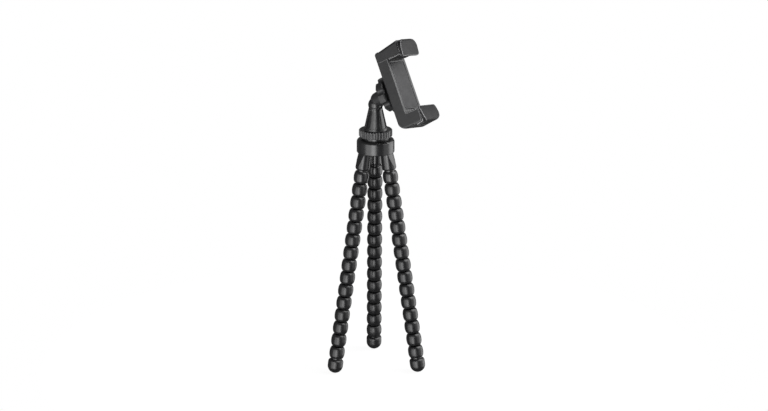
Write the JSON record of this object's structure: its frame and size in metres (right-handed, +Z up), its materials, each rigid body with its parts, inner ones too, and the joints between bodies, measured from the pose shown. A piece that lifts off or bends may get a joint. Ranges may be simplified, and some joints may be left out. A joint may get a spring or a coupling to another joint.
{
  "type": "flexible leg phone tripod",
  "caption": "Small tripod with bendable legs of ball-jointed links, a round hub, a ball head and a spring clamp for a phone.",
  "frame": {"origin": "on the standing plane, under the hub's axis", "axes": "+Z up along the hub's axis, +Y towards the rear leg, the clamp looks up and to the front right"},
  "size_m": [0.1112, 0.108, 0.3435],
  "materials": {
    "link_plastic": "semi-gloss black",
    "foot_rubber": "satin black",
    "hub_plastic": "semi-gloss black",
    "head_plastic": "semi-gloss black",
    "clamp_plastic": "satin black",
    "pad_rubber": "matt dark grey",
    "steel": "plain steel",
    "brass": "turned brass"
  },
  "bodies": {
    "hub": {"hub_base": "hub_plastic", "hub_shell": "hub_plastic"},
    "head": {"ball_housing": "head_plastic", "pan_bolt": "steel"},
    "lock": {"lock_ring": "head_plastic"},
    "brake": {"brake_piston": "head_plastic"},
    "stud": {"ball_stud": "head_plastic"},
    "wheel": {"thumb_wheel": "head_plastic"},
    "clamp": {"clamp_frame": "clamp_plastic", "thread_insert": "brass", "frame_cover": "clamp_plastic", "cover_screws": "steel", "back_pad": "pad_rubber", "guide_rods": "steel", "lower_jaw_pad": "pad_rubber", "return_springs": "steel"},
    "jaw": {"sliding_jaw": "clamp_plastic", "upper_jaw_pad": "pad_rubber"},
    "rear_link_02": {"rear_leg_link_02": "link_plastic"},
    "rear_link_03": {"rear_leg_link_03": "link_plastic"},
    "rear_link_04": {"rear_leg_link_04": "link_plastic"},
    "rear_link_05": {"rear_leg_link_05": "link_plastic"},
    "rear_link_06": {"rear_leg_link_06": "link_plastic"},
    "rear_link_07": {"rear_leg_link_07": "link_plastic"},
    "rear_link_08": {"rear_leg_link_08": "link_plastic"},
    "rear_link_09": {"rear_leg_link_09": "link_plastic"},
    "rear_link_10": {"rear_leg_link_10": "link_plastic"},
    "rear_link_11": {"rear_leg_link_11": "link_plastic"},
    "rear_link_12": {"rear_leg_link_12": "link_plastic"},
    "rear_link_13": {"rear_leg_link_13": "link_plastic"},
    "rear_link_14": {"rear_leg_link_14": "link_plastic"},
    "rear_foot": {"rear_leg_foot": "foot_rubber"},
    "left_link_02": {"left_leg_link_02": "link_plastic"},
    "left_link_03": {"left_leg_link_03": "link_plastic"},
    "left_link_04": {"left_leg_link_04": "link_plastic"},
    "left_link_05": {"left_leg_link_05": "link_plastic"},
    "left_link_06": {"left_leg_link_06": "link_plastic"},
    "left_link_07": {"left_leg_link_07": "link_plastic"},
    "left_link_08": {"left_leg_link_08": "link_plastic"},
    "left_link_09": {"left_leg_link_09": "link_plastic"},
    "left_link_10": {"left_leg_link_10": "link_plastic"},
    "left_link_11": {"left_leg_link_11": "link_plastic"},
    "left_link_12": {"left_leg_link_12": "link_plastic"},
    "left_link_13": {"left_leg_link_13": "link_plastic"},
    "left_link_14": {"left_leg_link_14": "link_plastic"},
    "left_foot": {"left_leg_foot": "foot_rubber"},
    "right_link_02": {"right_leg_link_02": "link_plastic"},
    "right_link_03": {"right_leg_link_03": "link_plastic"},
    "right_link_04": {"right_leg_link_04": "link_plastic"},
    "right_link_05": {"right_leg_link_05": "link_plastic"},
    "right_link_06": {"right_leg_link_06": "link_plastic"},
    "right_link_07": {"right_leg_link_07": "link_plastic"},
    "right_link_08": {"right_leg_link_08": "link_plastic"},
    "right_link_09": {"right_leg_link_09": "link_plastic"},
    "right_link_10": {"right_leg_link_10": "link_plastic"},
    "right_link_11": {"right_leg_link_11": "link_plastic"},
    "right_link_12": {"right_leg_link_12": "link_plastic"},
    "right_link_13": {"right_leg_link_13": "link_plastic"},
    "right_link_14": {"right_leg_link_14": "link_plastic"},
    "right_foot": {"right_leg_foot": "foot_rubber"}
  },
  "joints": [
    {"name": "head_pan", "type": "hinge", "parent": "hub", "child": "head", "pos_m": [0, 0, 0.2385], "axis": [0, 0, 1], "continuous": true},
    {"name": "lock_turn", "type": "hinge", "parent": "head", "child": "lock", "pos_m": [0, 0, 0.24805], "axis": [0, 0, 1], "range_deg": [0, 180]},
    {"name": "brake_lift", "type": "slide", "parent": "head", "child": "brake", "axis": [0, 0, -1], "range_m": [0, 0.00075]},
    {"name": "head_tilt", "type": "hinge", "parent": "head", "child": "stud", "pos_m": [0, 0, 0.27325], "axis": [-0.5344, -0.8453, 0], "range_deg": [-12, 45]},
    {"name": "wheel_turn", "type": "hinge", "parent": "stud", "child": "wheel", "pos_m": [0.01415, -0.00894, 0.28643], "axis": [0.7428, -0.4696, 0.4772], "continuous": true},
    {"name": "clamp_turn", "type": "hinge", "parent": "stud", "child": "clamp", "pos_m": [0.0189, -0.01195, 0.28949], "axis": [0.7428, -0.4696, 0.4772], "continuous": true},
    {"name": "jaw_slide", "type": "slide", "parent": "clamp", "child": "jaw", "axis": [-0.3044, 0.3979, 0.8655], "range_m": [0, 0.027], "stiffness_N_per_m": 120, "springref_m": -0.02, "deforming": ["return_springs"]},
    {"name": "rear_sway_02", "type": "hinge", "parent": "hub", "child": "rear_link_02", "pos_m": [0, 0.01722, 0.19802], "axis": [0, 0.9871, 0.1599], "range_deg": [-12, 12]},
    {"name": "rear_swing_03", "type": "hinge", "parent": "rear_link_02", "child": "rear_link_03", "pos_m": [0, 0.0193, 0.18519], "axis": [-1, 0, 0], "range_deg": [-12, 12]},
    {"name": "rear_sway_04", "type": "hinge", "parent": "rear_link_03", "child": "rear_link_04", "pos_m": [0, 0.02138, 0.17235], "axis": [0, 0.9871, 0.1599], "range_deg": [-12, 12]},
    {"name": "rear_swing_05", "type": "hinge", "parent": "rear_link_04", "child": "rear_link_05", "pos_m": [0, 0.02345, 0.15952], "axis": [1, 0, 0], "range_deg": [-12, 12]},
    {"name": "rear_sway_06", "type": "hinge", "parent": "rear_link_05", "child": "rear_link_06", "pos_m": [0, 0.02553, 0.14669], "axis": [0, 0.9871, 0.1599], "range_deg": [-12, 12]},
    {"name": "rear_swing_07", "type": "hinge", "parent": "rear_link_06", "child": "rear_link_07", "pos_m": [0, 0.02761, 0.13386], "axis": [-1, 0, 0], "range_deg": [-12, 12]},
    {"name": "rear_sway_08", "type": "hinge", "parent": "rear_link_07", "child": "rear_link_08", "pos_m": [0, 0.02969, 0.12102], "axis": [0, 0.9871, 0.1599], "range_deg": [-12, 12]},
    {"name": "rear_swing_09", "type": "hinge", "parent": "rear_link_08", "child": "rear_link_09", "pos_m": [0, 0.03177, 0.10819], "axis": [1, 0, 0], "range_deg": [-12, 12]},
    {"name": "rear_sway_10", "type": "hinge", "parent": "rear_link_09", "child": "rear_link_10", "pos_m": [0, 0.03385, 0.09536], "axis": [0, 0.9871, 0.1599], "range_deg": [-12, 12]},
    {"name": "rear_swing_11", "type": "hinge", "parent": "rear_link_10", "child": "rear_link_11", "pos_m": [0, 0.03592, 0.08253], "axis": [-1, 0, 0], "range_deg": [-12, 12]},
    {"name": "rear_sway_12", "type": "hinge", "parent": "rear_link_11", "child": "rear_link_12", "pos_m": [0, 0.038, 0.06969], "axis": [0, 0.9871, 0.1599], "range_deg": [-12, 12]},
    {"name": "rear_swing_13", "type": "hinge", "parent": "rear_link_12", "child": "rear_link_13", "pos_m": [0, 0.04008, 0.05686], "axis": [1, 0, 0], "range_deg": [-12, 12]},
    {"name": "rear_sway_14", "type": "hinge", "parent": "rear_link_13", "child": "rear_link_14", "pos_m": [0, 0.04216, 0.04403], "axis": [0, 0.9871, 0.1599], "range_deg": [-12, 12]},
    {"name": "rear_swing_15", "type": "hinge", "parent": "rear_link_14", "child": "rear_foot", "pos_m": [0, 0.04424, 0.03119], "axis": [-1, 0, 0], "range_deg": [-12, 12]},
    {"name": "left_sway_02", "type": "hinge", "parent": "hub", "child": "left_link_02", "pos_m": [-0.01491, -0.00861, 0.19802], "axis": [-0.8549, -0.4936, 0.1599], "range_deg": [-12, 12]},
    {"name": "left_swing_03", "type": "hinge", "parent": "left_link_02", "child": "left_link_03", "pos_m": [-0.01671, -0.00965, 0.18519], "axis": [0.5, -0.866, 0], "range_deg": [-12, 12]},
    {"name": "left_sway_04", "type": "hinge", "parent": "left_link_03", "child": "left_link_04", "pos_m": [-0.01851, -0.01069, 0.17235], "axis": [-0.8549, -0.4936, 0.1599], "range_deg": [-12, 12]},
    {"name": "left_swing_05", "type": "hinge", "parent": "left_link_04", "child": "left_link_05", "pos_m": [-0.02031, -0.01173, 0.15952], "axis": [-0.5, 0.866, 0], "range_deg": [-12, 12]},
    {"name": "left_sway_06", "type": "hinge", "parent": "left_link_05", "child": "left_link_06", "pos_m": [-0.02211, -0.01277, 0.14669], "axis": [-0.8549, -0.4936, 0.1599], "range_deg": [-12, 12]},
    {"name": "left_swing_07", "type": "hinge", "parent": "left_link_06", "child": "left_link_07", "pos_m": [-0.02391, -0.01381, 0.13386], "axis": [0.5, -0.866, 0], "range_deg": [-12, 12]},
    {"name": "left_sway_08", "type": "hinge", "parent": "left_link_07", "child": "left_link_08", "pos_m": [-0.02571, -0.01485, 0.12102], "axis": [-0.8549, -0.4936, 0.1599], "range_deg": [-12, 12]},
    {"name": "left_swing_09", "type": "hinge", "parent": "left_link_08", "child": "left_link_09", "pos_m": [-0.02751, -0.01588, 0.10819], "axis": [-0.5, 0.866, 0], "range_deg": [-12, 12]},
    {"name": "left_sway_10", "type": "hinge", "parent": "left_link_09", "child": "left_link_10", "pos_m": [-0.02931, -0.01692, 0.09536], "axis": [-0.8549, -0.4936, 0.1599], "range_deg": [-12, 12]},
    {"name": "left_swing_11", "type": "hinge", "parent": "left_link_10", "child": "left_link_11", "pos_m": [-0.03111, -0.01796, 0.08253], "axis": [0.5, -0.866, 0], "range_deg": [-12, 12]},
    {"name": "left_sway_12", "type": "hinge", "parent": "left_link_11", "child": "left_link_12", "pos_m": [-0.03291, -0.019, 0.06969], "axis": [-0.8549, -0.4936, 0.1599], "range_deg": [-12, 12]},
    {"name": "left_swing_13", "type": "hinge", "parent": "left_link_12", "child": "left_link_13", "pos_m": [-0.03471, -0.02004, 0.05686], "axis": [-0.5, 0.866, 0], "range_deg": [-12, 12]},
    {"name": "left_sway_14", "type": "hinge", "parent": "left_link_13", "child": "left_link_14", "pos_m": [-0.03651, -0.02108, 0.04403], "axis": [-0.8549, -0.4936, 0.1599], "range_deg": [-12, 12]},
    {"name": "left_swing_15", "type": "hinge", "parent": "left_link_14", "child": "left_foot", "pos_m": [-0.03831, -0.02212, 0.03119], "axis": [0.5, -0.866, 0], "range_deg": [-12, 12]},
    {"name": "right_sway_02", "type": "hinge", "parent": "hub", "child": "right_link_02", "pos_m": [0.01491, -0.00861, 0.19802], "axis": [0.8549, -0.4936, 0.1599], "range_deg": [-12, 12]},
    {"name": "right_swing_03", "type": "hinge", "parent": "right_link_02", "child": "right_link_03", "pos_m": [0.01671, -0.00965, 0.18519], "axis": [0.5, 0.866, 0], "range_deg": [-12, 12]},
    {"name": "right_sway_04", "type": "hinge", "parent": "right_link_03", "child": "right_link_04", "pos_m": [0.01851, -0.01069, 0.17235], "axis": [0.8549, -0.4936, 0.1599], "range_deg": [-12, 12]},
    {"name": "right_swing_05", "type": "hinge", "parent": "right_link_04", "child": "right_link_05", "pos_m": [0.02031, -0.01173, 0.15952], "axis": [-0.5, -0.866, 0], "range_deg": [-12, 12]},
    {"name": "right_sway_06", "type": "hinge", "parent": "right_link_05", "child": "right_link_06", "pos_m": [0.02211, -0.01277, 0.14669], "axis": [0.8549, -0.4936, 0.1599], "range_deg": [-12, 12]},
    {"name": "right_swing_07", "type": "hinge", "parent": "right_link_06", "child": "right_link_07", "pos_m": [0.02391, -0.01381, 0.13386], "axis": [0.5, 0.866, 0], "range_deg": [-12, 12]},
    {"name": "right_sway_08", "type": "hinge", "parent": "right_link_07", "child": "right_link_08", "pos_m": [0.02571, -0.01485, 0.12102], "axis": [0.8549, -0.4936, 0.1599], "range_deg": [-12, 12]},
    {"name": "right_swing_09", "type": "hinge", "parent": "right_link_08", "child": "right_link_09", "pos_m": [0.02751, -0.01588, 0.10819], "axis": [-0.5, -0.866, 0], "range_deg": [-12, 12]},
    {"name": "right_sway_10", "type": "hinge", "parent": "right_link_09", "child": "right_link_10", "pos_m": [0.02931, -0.01692, 0.09536], "axis": [0.8549, -0.4936, 0.1599], "range_deg": [-12, 12]},
    {"name": "right_swing_11", "type": "hinge", "parent": "right_link_10", "child": "right_link_11", "pos_m": [0.03111, -0.01796, 0.08253], "axis": [0.5, 0.866, 0], "range_deg": [-12, 12]},
    {"name": "right_sway_12", "type": "hinge", "parent": "right_link_11", "child": "right_link_12", "pos_m": [0.03291, -0.019, 0.06969], "axis": [0.8549, -0.4936, 0.1599], "range_deg": [-12, 12]},
    {"name": "right_swing_13", "type": "hinge", "parent": "right_link_12", "child": "right_link_13", "pos_m": [0.03471, -0.02004, 0.05686], "axis": [-0.5, -0.866, 0], "range_deg": [-12, 12]},
    {"name": "right_sway_14", "type": "hinge", "parent": "right_link_13", "child": "right_link_14", "pos_m": [0.03651, -0.02108, 0.04403], "axis": [0.8549, -0.4936, 0.1599], "range_deg": [-12, 12]},
    {"name": "right_swing_15", "type": "hinge", "parent": "right_link_14", "child": "right_foot", "pos_m": [0.03831, -0.02212, 0.03119], "axis": [0.5, 0.866, 0], "range_deg": [-12, 12]}
  ],
  "couplings": [
    {"joint": "brake_lift", "follows": "lock_turn", "m_per_rad": 0.00023873}
  ]
}
